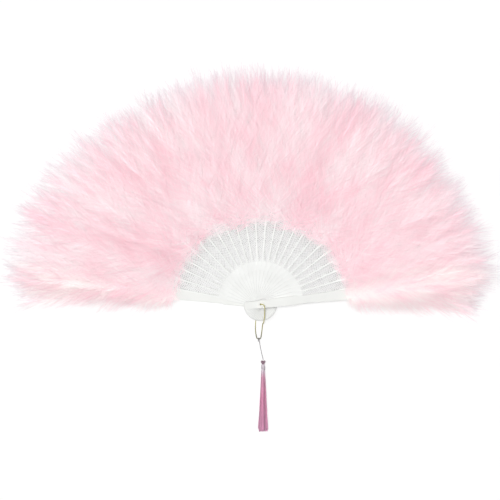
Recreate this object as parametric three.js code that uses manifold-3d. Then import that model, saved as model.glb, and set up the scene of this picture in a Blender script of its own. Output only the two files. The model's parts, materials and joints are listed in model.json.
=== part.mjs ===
// A folding feather fan, opened and lying flat: pierced sticks between two plain guards turn on one hollow
// rivet, every stick carries a marabou plume, and a cord through the rivet carries a tassel.
// Millimetres, +Z up. The fan opens towards +Y, the tassel lies towards -Y, and the plumes rest on Z = 0.

import * as THREE from 'three';
import { mergeVertices } from 'three/addons/utils/BufferGeometryUtils.js';
import Module from 'manifold-3d';

const wasm = await Module();
wasm.setup();

// The whole fan
const INNER_STICKS = 23;
const OPENING_DEG = 167;
const LAYER_GAP = 0.2;

// Stick outline: lengths follow one another along the stick, from the tail through the rivet to the tip
const TAIL_LENGTH = 21;
const TAIL_WIDTH = 9.4;
const HANDLE_LENGTH = 42;
const HANDLE_WIDTH = 12;
const SHOULDER_LENGTH = 10;
const NECK_WIDTH = 10;
const PIERCED_LENGTH = 60;
const FLARE_WIDTH = 13.6;
const TAPER_LENGTH = 10;
const BLADE_ROOT_WIDTH = 6.4;
const BLADE_LENGTH = 91;
const BLADE_TIP_WIDTH = 4.4;
const STICK_THICKNESS = 0.75;
const GUARD_THICKNESS = 2;

// Piercing of the inner sticks: a ladder of slots inside a solid rim
const SLOT_ROWS = 12;
const SLOT_RIM = 1.3;
const RUNG_WIDTH = 2;

// Hollow rivet and its two washers
const RIVET_DIAMETER = 4;
const RIVET_BORE = 2.3;
const RIVET_CLEARANCE = 0.15;
const FLANGE_DIAMETER = 7.2;
const FLANGE_THICKNESS = 0.7;
const WASHER_DIAMETER = 8.6;
const WASHER_THICKNESS = 0.6;
const MOUTH_HEIGHT = 4.6;

// Plumes: the front feathers start over the end of the pierced stretch, the rear ones past the taper, and
// the feathers grow longer over the last sticks before the rear guard
const FRONT_OVERLAP = 8;
const REAR_SETBACK = 4;
const REAR_RAMP = 4;
const TIP_OVERHANG = 77;
const LONGER_TIP = 22;
const LONGER_LAYERS = 9;
const PLUME_CROWN = 12;
const CROWN_RISE = 70;
const CROWN_FALL = 90;
const CROWN_LEAD = 4;
const PLUME_GAP = 0.3;
const POCKET_CLEARANCE = 0.3;
const ROOT_ROUNDING = 16;
const ROOT_BLUNTNESS = 8;
const TIP_ROUNDING = 16;
const TIP_BLUNTNESS = 2;
const TIP_LIFT = 0.55;
const FRINGE_START = 15;
const FRONT_FRINGE = 35;
const REAR_FRINGE = 30;
const FRINGE_ROUNDING = 34;
const BODY_STATIONS = 4;

// One side of a plume's section from the surface up, as shares of its half-width and of its height: beside a
// neighbour, and on a guard's open side, where the feathers slope down to the surface
const SECTOR_SIDE = [
  [0.9, 0],
  [1, 0.2],
  [1, 0.82],
  [0.6, 0.96],
];
const FRINGE_SIDE = [
  [0.9, 0],
  [1, 0.14],
  [0.84, 0.55],
  [0.45, 0.88],
];

// Wrist cord and tassel
const CORD_DIAMETER = 1.4;
const CORD_STEPS = 46;
const THREAD_DIAMETER = 0.8;
const THREAD_STEPS = 30;
const KNOT_WIDTH = 6.2;
const KNOT_LENGTH = 6.4;
const KNOT_HEIGHT = 6;
const NECK_DIAMETER = 5.4;
const NECK_LENGTH = 7;
const SKIRT_LENGTH = 76;
const SKIRT_END_WIDTH = 13;
const SKIRT_END_THICKNESS = 5.6;
const TASSEL_SEAM = 0.3;

// How the strands spread: shares of the skirt's length and of its final spread
const SKIRT_PROFILE = [
  [0, 0],
  [0.12, 0.35],
  [0.45, 0.7],
  [1, 1],
];

// Places along the stick, from the rivet's axis
const NECK_AT = HANDLE_LENGTH + SHOULDER_LENGTH;
const FLARE_AT = NECK_AT + PIERCED_LENGTH;
const BLADE_AT = FLARE_AT + TAPER_LENGTH;
const TIP_AT = BLADE_AT + BLADE_LENGTH;
const PLUME_AT = FLARE_AT - FRONT_OVERLAP;
const PLUME_REAR_AT = BLADE_AT + REAR_SETBACK;
const PLUME_END = TIP_AT + TIP_OVERHANG;

// Heights of the stack, from the surface up
const REAR_FACE = MOUTH_HEIGHT + FLANGE_THICKNESS + WASHER_THICKNESS + 2 * LAYER_GAP;
const LAYER_PITCH = STICK_THICKNESS + LAYER_GAP;
const FIRST_LAYER = REAR_FACE + GUARD_THICKNESS + LAYER_GAP;
const FRONT_GUARD_BASE = FIRST_LAYER + INNER_STICKS * LAYER_PITCH;
const FRONT_FACE = FRONT_GUARD_BASE + GUARD_THICKNESS;
const RIVET_TOP = FRONT_FACE + WASHER_THICKNESS + FLANGE_THICKNESS + 2 * LAYER_GAP;
const PITCH = THREE.MathUtils.degToRad(OPENING_DEG) / (INNER_STICKS + 1);

const RIVET_SIDES = 24;
const HOLE_SIDES = 12;
const HOLE_RADIUS = (RIVET_DIAMETER / 2 + RIVET_CLEARANCE) / Math.cos(Math.PI / HOLE_SIDES);

// Materials: one for each mesh, so every piece can be coloured alone
function plastic() {
  return new THREE.MeshStandardMaterial({ color: 0xf2f2ef, roughness: 0.35, metalness: 0 });
}

function marabou(color) {
  return new THREE.MeshStandardMaterial({ color, roughness: 0.95, metalness: 0 });
}

function yarn(color) {
  return new THREE.MeshStandardMaterial({ color, roughness: 0.8, metalness: 0 });
}

function goldCord() {
  return new THREE.MeshStandardMaterial({ color: 0xc2b57a, roughness: 0.45, metalness: 0.3 });
}

// Joins rings of equally many points into one closed body; rings run counter-clockwise seen from the last
function loft(rings) {
  const sides = rings[0].length;
  const position = rings.flat().flatMap((point) => point.toArray());
  const index = [];
  for (let k = 0; k + 1 < rings.length; k += 1) {
    for (let j = 0; j < sides; j += 1) {
      const a = k * sides + j;
      const b = k * sides + ((j + 1) % sides);
      index.push(a, b, b + sides, a, b + sides, a + sides);
    }
  }
  const last = (rings.length - 1) * sides;
  for (let j = 1; j + 1 < sides; j += 1) {
    index.push(0, j + 1, j, last, last + j, last + j + 1);
  }
  const geometry = new THREE.BufferGeometry();
  geometry.setAttribute('position', new THREE.Float32BufferAttribute(position, 3));
  geometry.setIndex(index);
  geometry.computeVertexNormals();
  return geometry;
}

function toSolid(geometry) {
  const bare = geometry.clone();
  bare.deleteAttribute('normal');
  bare.deleteAttribute('uv');
  const merged = mergeVertices(bare);
  return new wasm.Manifold(
    new wasm.Mesh({
      numProp: 3,
      vertProperties: new Float32Array(merged.attributes.position.array),
      triVerts: new Uint32Array(merged.index.array),
    }),
  );
}

function toGeometry(solid) {
  const mesh = solid.getMesh();
  const geometry = new THREE.BufferGeometry();
  geometry.setAttribute('position', new THREE.Float32BufferAttribute(mesh.vertProperties, 3));
  geometry.setIndex(new THREE.Uint32BufferAttribute(mesh.triVerts, 1));
  geometry.computeVertexNormals();
  return geometry;
}

function ring(radius, sides) {
  return Array.from({ length: sides }, (_, k) => {
    const turn = (2 * Math.PI * k) / sides;
    return new THREE.Vector2(radius * Math.cos(turn), radius * Math.sin(turn));
  });
}

// Half the stick's width in its pierced stretch, which flares evenly from the neck
function piercedHalfWidth(x) {
  return THREE.MathUtils.mapLinear(x, NECK_AT, FLARE_AT, NECK_WIDTH / 2, FLARE_WIDTH / 2);
}

// One edge of the stick, side = -1 or 1, as points from the tail's arc to the tip's arc
function stickEdge(side) {
  const y = (width) => (side * width) / 2;
  const edge = new THREE.Path();
  const bend = SHOULDER_LENGTH / 2;
  const sweep = TAPER_LENGTH / 2;
  edge.moveTo(TAIL_WIDTH / 2 - TAIL_LENGTH, y(TAIL_WIDTH));
  edge.lineTo(HANDLE_LENGTH, y(HANDLE_WIDTH));
  edge.bezierCurveTo(
    HANDLE_LENGTH + bend, y(HANDLE_WIDTH), NECK_AT - bend, y(NECK_WIDTH), NECK_AT, y(NECK_WIDTH),
  );
  edge.lineTo(FLARE_AT, y(FLARE_WIDTH));
  edge.bezierCurveTo(
    FLARE_AT + sweep, y(FLARE_WIDTH), BLADE_AT - sweep, y(BLADE_ROOT_WIDTH), BLADE_AT, y(BLADE_ROOT_WIDTH),
  );
  edge.lineTo(TIP_AT - BLADE_TIP_WIDTH / 2, y(BLADE_TIP_WIDTH));
  return edge.getPoints(4);
}

// A half circle between the two edges, without its end points
function roundEnd(x, radius, from, steps) {
  return Array.from({ length: steps - 1 }, (_, k) => {
    const turn = from + (Math.PI * (k + 1)) / steps;
    return new THREE.Vector2(x + radius * Math.cos(turn), radius * Math.sin(turn));
  });
}

// The slots between the rungs, each as wide as the rims leave it
function slots() {
  const slotLength = (PIERCED_LENGTH - (SLOT_ROWS + 1) * RUNG_WIDTH) / SLOT_ROWS;
  return Array.from({ length: SLOT_ROWS }, (_, k) => {
    const start = NECK_AT + RUNG_WIDTH + k * (slotLength + RUNG_WIDTH);
    const end = start + slotLength;
    const near = piercedHalfWidth(start) - SLOT_RIM;
    const far = piercedHalfWidth(end) - SLOT_RIM;
    return new THREE.Path([
      new THREE.Vector2(start, -near),
      new THREE.Vector2(end, -far),
      new THREE.Vector2(end, far),
      new THREE.Vector2(start, near),
    ]);
  });
}

function stickGeometry(thickness, pierced) {
  const outline = new THREE.Shape([
    ...stickEdge(-1),
    ...roundEnd(TIP_AT - BLADE_TIP_WIDTH / 2, BLADE_TIP_WIDTH / 2, -Math.PI / 2, 4),
    ...stickEdge(1).reverse(),
    ...roundEnd(TAIL_WIDTH / 2 - TAIL_LENGTH, TAIL_WIDTH / 2, Math.PI / 2, 6),
  ]);
  outline.holes.push(new THREE.Path(ring(HOLE_RADIUS, HOLE_SIDES)));
  if (pierced) {
    outline.holes.push(...slots());
  }
  return new THREE.ExtrudeGeometry(outline, { depth: thickness, bevelEnabled: false });
}

// The space that the stick's blade takes inside its plume
function pocketGeometry(thickness) {
  const root = BLADE_ROOT_WIDTH / 2 + POCKET_CLEARANCE;
  const tip = BLADE_TIP_WIDTH / 2 + POCKET_CLEARANCE;
  const outline = new THREE.Shape([
    new THREE.Vector2(BLADE_AT, -root),
    new THREE.Vector2(TIP_AT + POCKET_CLEARANCE, -tip),
    new THREE.Vector2(TIP_AT + POCKET_CLEARANCE, tip),
    new THREE.Vector2(BLADE_AT, root),
  ]);
  const pocket = new THREE.ExtrudeGeometry(outline, {
    depth: thickness + 2 * POCKET_CLEARANCE,
    bevelEnabled: false,
  });
  pocket.translate(0, 0, -POCKET_CLEARANCE);
  return pocket;
}

// A quarter ellipse: 0 at the edge, 1 once the distance reaches the rounding
function rounded(distance, rounding) {
  const left = 1 - Math.min(distance / rounding, 1);
  return Math.sqrt(1 - left * left);
}

// A parabola: 0 at the edge, 1 once the distance reaches the swell's length
function swollen(distance, swell) {
  const left = 1 - Math.min(distance / swell, 1);
  return 1 - left * left;
}

// Where a layer's feathers end
function plumeTip(layer) {
  return PLUME_END + LONGER_TIP * THREE.MathUtils.smoothstep(LONGER_LAYERS - layer, 0, LONGER_LAYERS);
}

// Half the plume's width on a side that has a neighbour: its share of the opened sector
function sectorHalfWidth(x, tip) {
  const share = x * Math.tan(PITCH / 2) - PLUME_GAP / (2 * Math.cos(PITCH / 2));
  const fromRoot = rounded(x - PLUME_AT + ROOT_BLUNTNESS, ROOT_ROUNDING);
  const fromTip = rounded(tip - x + TIP_BLUNTNESS, TIP_ROUNDING);
  return share * fromRoot * fromTip;
}

// Half the plume's width on a guard's open side, where the feathers spread past the guard
function fringeHalfWidth(x, tip, fringe) {
  const start = BLADE_ROOT_WIDTH / 2;
  const spread = THREE.MathUtils.mapLinear(x, PLUME_AT, tip, FRINGE_START, fringe);
  const fromRoot = rounded(x - PLUME_AT, FRINGE_ROUNDING);
  const fromTip = rounded(tip - x + TIP_BLUNTNESS, FRINGE_ROUNDING);
  return start + (spread - start) * fromRoot * fromTip;
}

// How far the plume stands above the front of its stick
function crownHeight(x, tip) {
  const fromRoot = swollen(x - PLUME_AT + CROWN_LEAD, CROWN_RISE);
  const fromTip = swollen(tip - x + TIP_BLUNTNESS, CROWN_FALL);
  return PLUME_CROWN * fromRoot * fromTip;
}

// One plume: feathers in front of the blade and behind it, down to the surface. base is the height of the
// stick's underside; left and right are the fringes beside the stick, 0 where a neighbour lies.
function plumeGeometry(base, thickness, tip, left, right) {
  const front = thickness + POCKET_CLEARANCE;
  const rampEnd = PLUME_REAR_AT + REAR_RAMP;
  const roundingStart = tip - TIP_ROUNDING;
  const stations = [PLUME_AT, (PLUME_AT + PLUME_REAR_AT) / 2, PLUME_REAR_AT, rampEnd];
  for (let k = 1; k <= BODY_STATIONS; k += 1) {
    stations.push(THREE.MathUtils.lerp(rampEnd, roundingStart, k / BODY_STATIONS));
  }
  stations.push((roundingStart + tip) / 2, tip);
  const rings = stations.map((x) => {
    const lift = TIP_LIFT * (1 - rounded(tip - x, TIP_ROUNDING));
    const rear = x > PLUME_REAR_AT ? -base * (1 - lift) : front;
    const height = front + crownHeight(x, tip) - rear;
    const side = (fringe, turn) => {
      const half = fringe > 0 ? fringeHalfWidth(x, tip, fringe) : sectorHalfWidth(x, tip);
      const shares = fringe > 0 ? FRINGE_SIDE : SECTOR_SIDE;
      return shares.map(([across, up]) => new THREE.Vector3(x, turn * across * half, rear + up * height));
    };
    return [...side(left, 1), new THREE.Vector3(x, 0, rear + height), ...side(right, -1).reverse()];
  });
  return toGeometry(toSolid(loft(rings)).subtract(toSolid(pocketGeometry(thickness))));
}

// A ring-shaped or tubular piece about the rivet's axis from (radius, height) corners
function turned(corners) {
  const profile = [...corners, corners[0]].map(([radius, height]) => new THREE.Vector2(radius, height));
  const geometry = new THREE.LatheGeometry(profile, RIVET_SIDES);
  geometry.rotateX(Math.PI / 2);
  return geometry;
}

function rivetGeometry() {
  const bore = RIVET_BORE / 2;
  const shank = RIVET_DIAMETER / 2;
  const flange = FLANGE_DIAMETER / 2;
  return turned([
    [bore, MOUTH_HEIGHT],
    [flange, MOUTH_HEIGHT],
    [flange, MOUTH_HEIGHT + FLANGE_THICKNESS],
    [shank, MOUTH_HEIGHT + FLANGE_THICKNESS],
    [shank, RIVET_TOP - FLANGE_THICKNESS],
    [flange, RIVET_TOP - FLANGE_THICKNESS],
    [flange, RIVET_TOP],
    [bore, RIVET_TOP],
  ]);
}

function washerGeometry(base) {
  const hole = (RIVET_DIAMETER / 2 + RIVET_CLEARANCE) / Math.cos(Math.PI / RIVET_SIDES);
  return turned([
    [hole, base],
    [WASHER_DIAMETER / 2, base],
    [WASHER_DIAMETER / 2, base + WASHER_THICKNESS],
    [hole, base + WASHER_THICKNESS],
  ]);
}

// A round cord along hand-laid points
function cordGeometry(points, diameter, steps) {
  const route = new THREE.CatmullRomCurve3(points.map(([x, y, z]) => new THREE.Vector3(x, y, z)));
  const section = new THREE.Shape(ring(diameter / 2, 8));
  return new THREE.ExtrudeGeometry(section, { extrudePath: route, steps, bevelEnabled: false });
}

// Wrist cord, from the rivet's axis: out of the front mouth, over the tails, down to the surface, round its
// bend and back under the fan into the rear mouth
const CORD_ROUTE = [
  [0, 0, 33],
  [0.2, 0, 34.6],
  [1.3, 0.1, 35.9],
  [3.1, -0.3, 36.3],
  [4.6, -2, 36],
  [5.2, -5.2, 35.5],
  [5.1, -10.4, 35],
  [4.8, -15.6, 34.6],
  [4.3, -19.6, 34.2],
  [3.9, -22.2, 32.2],
  [3.7, -23.3, 28.6],
  [3.5, -23.7, 21],
  [3.3, -24.1, 13],
  [3, -24.9, 6.6],
  [2.6, -27.1, 2.4],
  [2.2, -30.6, 0.9],
  [1.7, -35, 0.75],
  [1.1, -39.2, 1.3],
  [0.7, -41.7, 1.8],
  [-0.1, -43.6, 2],
  [-2.1, -44.5, 2],
  [-4.1, -43.6, 2],
  [-5, -41.7, 1.8],
  [-5.5, -39.2, 1.3],
  [-6.1, -35, 0.75],
  [-6.3, -30, 0.75],
  [-6.1, -24, 0.75],
  [-5, -16, 0.75],
  [-3.1, -8.6, 0.75],
  [-1.2, -3.2, 0.8],
  [-0.35, -0.95, 1.75],
  [0, 0, 3.7],
  [0, 0, 5.6],
];

// Tassel thread: a hitch round the cord's bend, then along the surface to the tassel's knot
const THREAD_ROUTE = [
  [-2.7, -47.6, 1],
  [-2.5, -46.1, 0.45],
  [-2.3, -44.5, 0.42],
  [-2.1, -43.1, 1],
  [-1.95, -42.8, 2.2],
  [-1.8, -43.4, 3.3],
  [-1.65, -44.6, 3.65],
  [-1.4, -46.3, 3],
  [-1.2, -48.1, 1.8],
  [-0.8, -50.5, 0.7],
  [-0.2, -54, 0.45],
  [0.8, -59, 0.45],
  [1.9, -64, 0.6],
  [2.9, -68, 1.6],
  [3.4, -70.3, 2.7],
];

// The tassel lies along -Y from the thread's end, half its knot's height above the surface
const [TASSEL_X, THREAD_END] = THREAD_ROUTE.at(-1);
const KNOT_TOP = THREAD_END - TASSEL_SEAM;
const NECK_TOP = KNOT_TOP - KNOT_LENGTH - TASSEL_SEAM;
const SKIRT_TOP = NECK_TOP - NECK_LENGTH - TASSEL_SEAM;

function knotGeometry() {
  const geometry = new THREE.SphereGeometry(0.5, 10, 8);
  geometry.scale(KNOT_WIDTH, KNOT_LENGTH, KNOT_HEIGHT);
  geometry.translate(TASSEL_X, KNOT_TOP - KNOT_LENGTH / 2, KNOT_HEIGHT / 2);
  return geometry;
}

function neckGeometry() {
  const geometry = new THREE.CylinderGeometry(NECK_DIAMETER / 2, NECK_DIAMETER / 2, NECK_LENGTH, 12);
  geometry.translate(TASSEL_X, NECK_TOP - NECK_LENGTH / 2, KNOT_HEIGHT / 2);
  return geometry;
}

// The strands spread from the neck to a flat, wide end
function skirtGeometry() {
  const rings = SKIRT_PROFILE.map(([along, spread]) => {
    const width = THREE.MathUtils.lerp(NECK_DIAMETER, SKIRT_END_WIDTH, spread);
    const thickness = THREE.MathUtils.lerp(NECK_DIAMETER, SKIRT_END_THICKNESS, spread);
    const height = THREE.MathUtils.lerp(KNOT_HEIGHT, SKIRT_END_THICKNESS, along) / 2;
    const y = SKIRT_TOP - along * SKIRT_LENGTH;
    return ring(0.5, 12).map((p) => new THREE.Vector3(TASSEL_X + p.x * width, y, height + p.y * thickness));
  });
  return loft(rings);
}

const fan = new THREE.Group();

function add(parent, name, geometry, material) {
  const mesh = new THREE.Mesh(geometry, material);
  mesh.name = name;
  parent.add(mesh);
}

// Sticks and plumes, from the rear guard at the left to the front guard at the right
const LAYERS = INNER_STICKS + 2;
for (let i = 0; i < LAYERS; i += 1) {
  const rear = i === 0;
  const front = i === LAYERS - 1;
  const guard = rear || front;
  const thickness = guard ? GUARD_THICKNESS : STICK_THICKNESS;
  const base = rear ? REAR_FACE : FIRST_LAYER + (i - 1) * LAYER_PITCH;
  const number = String(i).padStart(2, '0');
  const stickName = rear ? 'rear_guard' : front ? 'front_guard' : `stick_${number}`;
  const plumeName = rear ? 'plume_rear_guard' : front ? 'plume_front_guard' : `plume_${number}`;
  const left = rear ? REAR_FRINGE : 0;
  const right = front ? FRONT_FRINGE : 0;
  const tint = guard ? 0xfff0ed : 0xfddde3;
  const layer = new THREE.Group();
  layer.position.z = base;
  layer.rotation.z = Math.PI / 2 + ((LAYERS - 1) / 2 - i) * PITCH;
  add(layer, stickName, stickGeometry(thickness, !guard), plastic());
  add(layer, plumeName, plumeGeometry(base, thickness, plumeTip(i), left, right), marabou(tint));
  fan.add(layer);
}

add(fan, 'rivet', rivetGeometry(), plastic());
add(fan, 'rear_washer', washerGeometry(REAR_FACE - LAYER_GAP - WASHER_THICKNESS), plastic());
add(fan, 'front_washer', washerGeometry(FRONT_FACE + LAYER_GAP), plastic());

// The origin lies on the surface, under the middle of the fan without its cord
const middle = new THREE.Box3().setFromObject(fan, true).getCenter(new THREE.Vector3());

add(fan, 'wrist_cord', cordGeometry(CORD_ROUTE, CORD_DIAMETER, CORD_STEPS), goldCord());
add(fan, 'tassel_thread', cordGeometry(THREAD_ROUTE, THREAD_DIAMETER, THREAD_STEPS), yarn(0xc9b3bd));
add(fan, 'tassel_knot', knotGeometry(), yarn(0xb98aa0));
add(fan, 'tassel_neck', neckGeometry(), yarn(0xe1d7e0));
add(fan, 'tassel_skirt', skirtGeometry(), yarn(0xd08aa8));

fan.position.set(-middle.x, -middle.y, 0);

export default fan;
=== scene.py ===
import json
import math
import random

import bpy
from mathutils import Matrix, Vector


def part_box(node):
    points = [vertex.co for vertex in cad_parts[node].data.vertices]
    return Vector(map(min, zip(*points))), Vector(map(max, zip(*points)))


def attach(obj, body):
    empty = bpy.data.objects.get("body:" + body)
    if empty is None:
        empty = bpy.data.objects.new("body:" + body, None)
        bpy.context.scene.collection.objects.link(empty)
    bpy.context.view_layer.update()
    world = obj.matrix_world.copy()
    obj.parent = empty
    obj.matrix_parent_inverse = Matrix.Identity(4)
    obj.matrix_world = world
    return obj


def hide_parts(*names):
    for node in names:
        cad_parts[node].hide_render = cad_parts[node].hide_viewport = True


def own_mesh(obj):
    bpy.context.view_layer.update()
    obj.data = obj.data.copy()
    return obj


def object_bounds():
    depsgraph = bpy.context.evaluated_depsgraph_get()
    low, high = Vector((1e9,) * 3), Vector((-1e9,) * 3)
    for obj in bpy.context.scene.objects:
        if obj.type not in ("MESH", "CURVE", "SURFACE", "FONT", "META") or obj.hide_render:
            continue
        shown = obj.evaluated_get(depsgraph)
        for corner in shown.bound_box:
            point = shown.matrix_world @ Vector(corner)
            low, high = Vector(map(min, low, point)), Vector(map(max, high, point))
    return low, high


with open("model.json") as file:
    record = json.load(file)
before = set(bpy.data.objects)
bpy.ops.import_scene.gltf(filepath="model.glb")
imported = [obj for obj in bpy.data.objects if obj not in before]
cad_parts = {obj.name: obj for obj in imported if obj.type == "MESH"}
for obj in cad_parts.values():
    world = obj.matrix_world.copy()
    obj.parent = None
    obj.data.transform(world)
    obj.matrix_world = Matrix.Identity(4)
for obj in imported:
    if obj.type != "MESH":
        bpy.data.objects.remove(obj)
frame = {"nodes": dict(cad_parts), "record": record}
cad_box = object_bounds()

# Lengths in metres. The fan opens towards +Y and lies on Z = 0.

# The photograph's frame: square, seen from straight above
PHOTO_SIDE = 500
PHOTO_SCALE = 0.00125
PIVOT_PIXEL = (260.5, 304)
CAMERA_HEIGHT = 2.5
CAMERA_SENSOR = 36

# Stick outline, along the stick from the rivet's axis
HANDLE_LENGTH = 0.042
HANDLE_WIDTH = 0.012
TAIL_WIDTH = 0.0094
SHOULDER_LENGTH = 0.010
NECK_WIDTH = 0.010
PIERCED_LENGTH = 0.060
FLARE_WIDTH = 0.0136
TAPER_LENGTH = 0.010
BLADE_ROOT_WIDTH = 0.0064
BLADE_TIP_WIDTH = 0.0044
PIVOT_HOLE = 0.0043

# Rounded edges, and the angle from which an edge is rounded
STICK_EDGE = 0.00028
GUARD_EDGE = 0.0006
LACE_EDGE_SHARE = 0.4
SHARP_ANGLE = math.radians(50)

# Lacework of the inner sticks: a trellis of diamonds between solid rims
LACE_RIM = 0.0015
LACE_ROWS = 20
LACE_COLUMNS = 3
LACE_OPENING = 0.8

# Plastic, as shares of its own brightness: smooth parts, the painted highlight on the lacework's rims, and
# the deepest and palest painted shade between the rims
SMOOTH_SHADE = 0.992
RIM_HIGHLIGHT = 1.03
LACE_PAINTED_SHADES = (0.70, 0.98)
# How strongly the lacework's painted shade shows, at the neck and at the flare
LACE_SHADE_STRENGTH = (0.75, 1.2)
# Painted shade on the tails: brightness at the tail and where the painted shade ends, and how far along the
# stick that is
TAIL_PAINTED_SHADE = (0.985, 1.0)
TAIL_SHADE_TO = 0.01
# Width of the painted shade along the handle's edges, and its brightness at the tail and at the handle's end
EDGE_SHADE_WIDTH = 0.0012
STICK_PAINTED_SHADE = (0.82, 0.9)
GUARD_PAINTED_SHADE = (0.94, 0.97)

# Down of the feathers, as the inputs of its tree
DOWN = {
    "Barb Spacing": 0.000385, "Barb Width": 0.00046, "Flatness": 0.18, "Bend": 0.22, "Loft": 0.2,
    "Loose Lift": 0.3, "Clump Size": 0.022, "Clump Shift": 0.009, "Curl Size": 0.005, "Curl Shift": 0.0028,
    "Tone Size": 0.016, "Quill Width": 0.0007, "Lowest": 0.0004,
}
BARB_TIP_SHARE = 0.3
BARB_LUCK = (0.5, 1.1)
TONE_RANGE = 0.6
TONE_JITTER = 0.08
# Angles between barb and quill, in radians, at the quill's root and tip; more over its first stretch
BARB_SPLAY = (1.15, 0.2)
ROOT_FLARE = 0.95
ROOT_FLARE_TO = 0.14
BARB_UNRULY = (0.6, 0.3)
UNRULY_TO = 0.2
# How far along its quill: how full a feather is there
FULLNESS = ((0.0, 0.55), (0.3, 0.95), (0.75, 1.0), (1.0, 0.76))

# Quills and plumes. Places among the layers count sticks from the rear guard
QUILL_TIP_SHARE = 0.3
QUILL_POINTS = 9
QUILL_DRIFT = 0.012
LANE_JITTER = 0.08
GUARD_LANE_SHARE = 0.65
GUARD_LANE_SHIFT = 0.16
CROWN_ROOM = 0.006
CROWN_BLEND = 0.008
LONGER_TIP = 0.031
LONGER_FROM = 9.0
LONGEST_FROM = 1.5
SHORTER_TIP = 0.006
SHORTEST_AT = 20.3
SHORTER_OVER = 3.2
INNER_EDGE = 0.104
SIDE_SETBACK = 0.0075
REAR_LEVEL = 0.009
FRONT_OVERHANG = 0.044
REAR_OVERHANG = 0.036

# Cords. The wrist cord has no painted shade as far as one distance below the rivet's axis, and its painted
# shade is deepest at another
CORD_DIAMETER = 0.0014
CORD_LAY = 0.0052
CORD_UNSHADED_TO = 0.020
CORD_SHADE_DARKEST_AT = 0.0445
CORD_SHADE_DARKEST = 0.2
THREAD_DIAMETER = 0.0008
THREAD_LAY = 0.0026
PLY_GROOVE = 0.76

# Tassel: knot, bound neck, and strands that rise into the knot and end unevenly, in paler and darker locks
# that are partly random tone and partly painted highlight and shade
KNOT_YARN_WIDTH = 0.0021
KNOT_LAY = 0.006
KNOT_STEPS = 72
KNOT_FIT = (1.1, 1.05, 0.62)
BINDING_TURNS = 8
BINDING_STEPS = 20
BINDING_LAY = 0.004
BINDING_OVERLAP = 1.12
SKIRT_STRANDS = 190
STRAND_WIDTH = 0.0008
STRAND_SHADE_LOCKS = 4
STRAND_WAVES = 0.0016
STRAND_WAVE_SIZE = 0.018
STRAND_INSET = 0.0006
STRAND_RISE = 0.001
STRAND_RAGGED = 0.004
STRAND_STRAY = 0.0015
STRAND_SCATTER = 0.01
NECK_INSET = 0.001
LOCK_SHADE_SHARE = 0.65

# Light, as the share of its own colour that a flat white sheet would show; spreads are in degrees
SKY_LEVEL = 0.22
SOFTBOXES = {
    "overhead_softbox": {"level": 0.68, "spread": 9, "heading": (0.03, -0.04, -1)},
    "side_softbox": {"level": 0.16, "spread": 20, "heading": (0.5, -0.12, -1)},
}
FLOOR_GLOW = 0.5
FLOOR_REACH = 12
LIGHT_PASSES = 14

record = frame["record"]
joints = {joint["name"]: joint for joint in record["behaviour"]["joints"]}
pivot = Vector(joints["fan_fold"]["pos_m"])
pivot.z = 0
inner_sticks = sorted(name for name in frame["nodes"] if name.startswith("stick_"))
stick_names = ["rear_guard", *inner_sticks, "front_guard"]
last_layer = len(stick_names) - 1
opening = math.radians(joints["fan_fold"]["range_deg"][1])
pitch = opening / last_layer

middle_low, middle_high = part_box(stick_names[last_layer // 2])
tail_length = pivot.y - middle_low.y
tip_at = middle_high.y - pivot.y
plume_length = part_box(inner_sticks[len(inner_sticks) // 2].replace("stick", "plume"))[1].y - pivot.y
neck_at = HANDLE_LENGTH + SHOULDER_LENGTH
flare_at = neck_at + PIERCED_LENGTH
blade_at = flare_at + TAPER_LENGTH
LACE_PLACE = {
    "Lace Start": neck_at + LACE_RIM, "Lace End": flare_at - LACE_RIM,
    "Start Width": NECK_WIDTH - 2 * LACE_RIM, "End Width": FLARE_WIDTH - 2 * LACE_RIM,
}
HANDLE_PLACE = {
    "Tail": tail_length - TAIL_WIDTH / 2, "Tail Width": TAIL_WIDTH, "Handle": HANDLE_LENGTH,
    "Handle Width": HANDLE_WIDTH, "Painted Shade Width": EDGE_SHADE_WIDTH,
}


def is_guard(layer):
    return layer in (0, last_layer)


def stick_body(layer):
    return f"{stick_names[layer]}_body"


def plume_name(layer):
    name = stick_names[layer]
    return f"plume_{name}" if is_guard(layer) else name.replace("stick", "plume")


def stick_place(layer):
    """Where a stick lies: its own X runs from the rivet to its tip, and Z = 0 is its underside."""
    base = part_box(stick_names[layer])[0].z
    turn = math.pi / 2 + (last_layer / 2 - layer) * pitch
    return Matrix.Translation((pivot.x, pivot.y, base)) @ Matrix.Rotation(turn, 4, "Z")


def stick_thickness(layer):
    low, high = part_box(stick_names[layer])
    return high.z - low.z


# Node trees


def pick(sockets, key):
    """A socket by its number or name, or the first one in use."""
    if isinstance(key, int):
        return sockets[key]
    return next(s for s in sockets if s.enabled and key in (None, s.name))


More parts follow.
